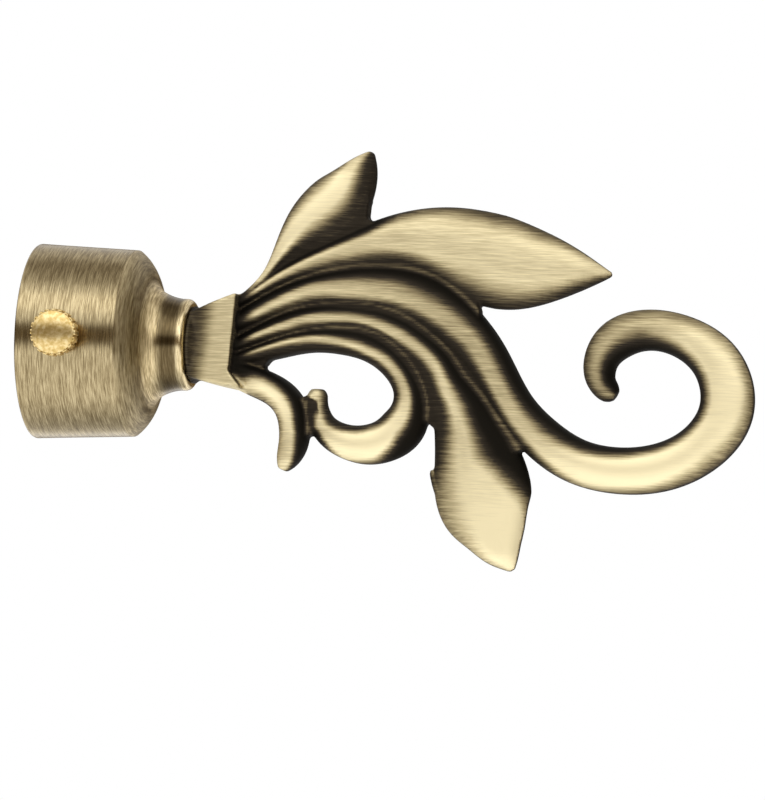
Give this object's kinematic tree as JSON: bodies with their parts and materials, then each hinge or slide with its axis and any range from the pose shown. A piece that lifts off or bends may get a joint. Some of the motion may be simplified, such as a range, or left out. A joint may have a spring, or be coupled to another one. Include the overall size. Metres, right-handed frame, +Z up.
{
  "type": "curtain pole finial",
  "caption": "Cast scroll leaf finial in antique brass with a round socket cap and a knurled thumb screw for the end of a curtain pole.",
  "frame": {"origin": "centre of the socket's mouth, on the pole's axis", "axes": "+X along the pole's axis, out past the pole's end towards the scroll; +Z up; the leaf lies in the XZ plane; the thumb screw is on the -Y side"},
  "size_m": [0.1177, 0.0358, 0.0664],
  "materials": {
    "antique_brass": "brushed antique plating, dark in the valleys",
    "bright_brass": "bright, lightly worn",
    "plated_steel": "zinc plated"
  },
  "bodies": {
    "finial": {"socket_cap": "antique_brass", "scroll_leaf": "antique_brass", "assembly_screw": "plated_steel", "spring_washer": "plated_steel"},
    "thumb_screw": {"thumb_screw": "bright_brass"}
  },
  "joints": [
    {"name": "thumb_screw_travel", "type": "slide", "parent": "finial", "child": "thumb_screw", "axis": [0, 1, 0], "range_m": [-0.0006, 0.0018]}
  ]
}
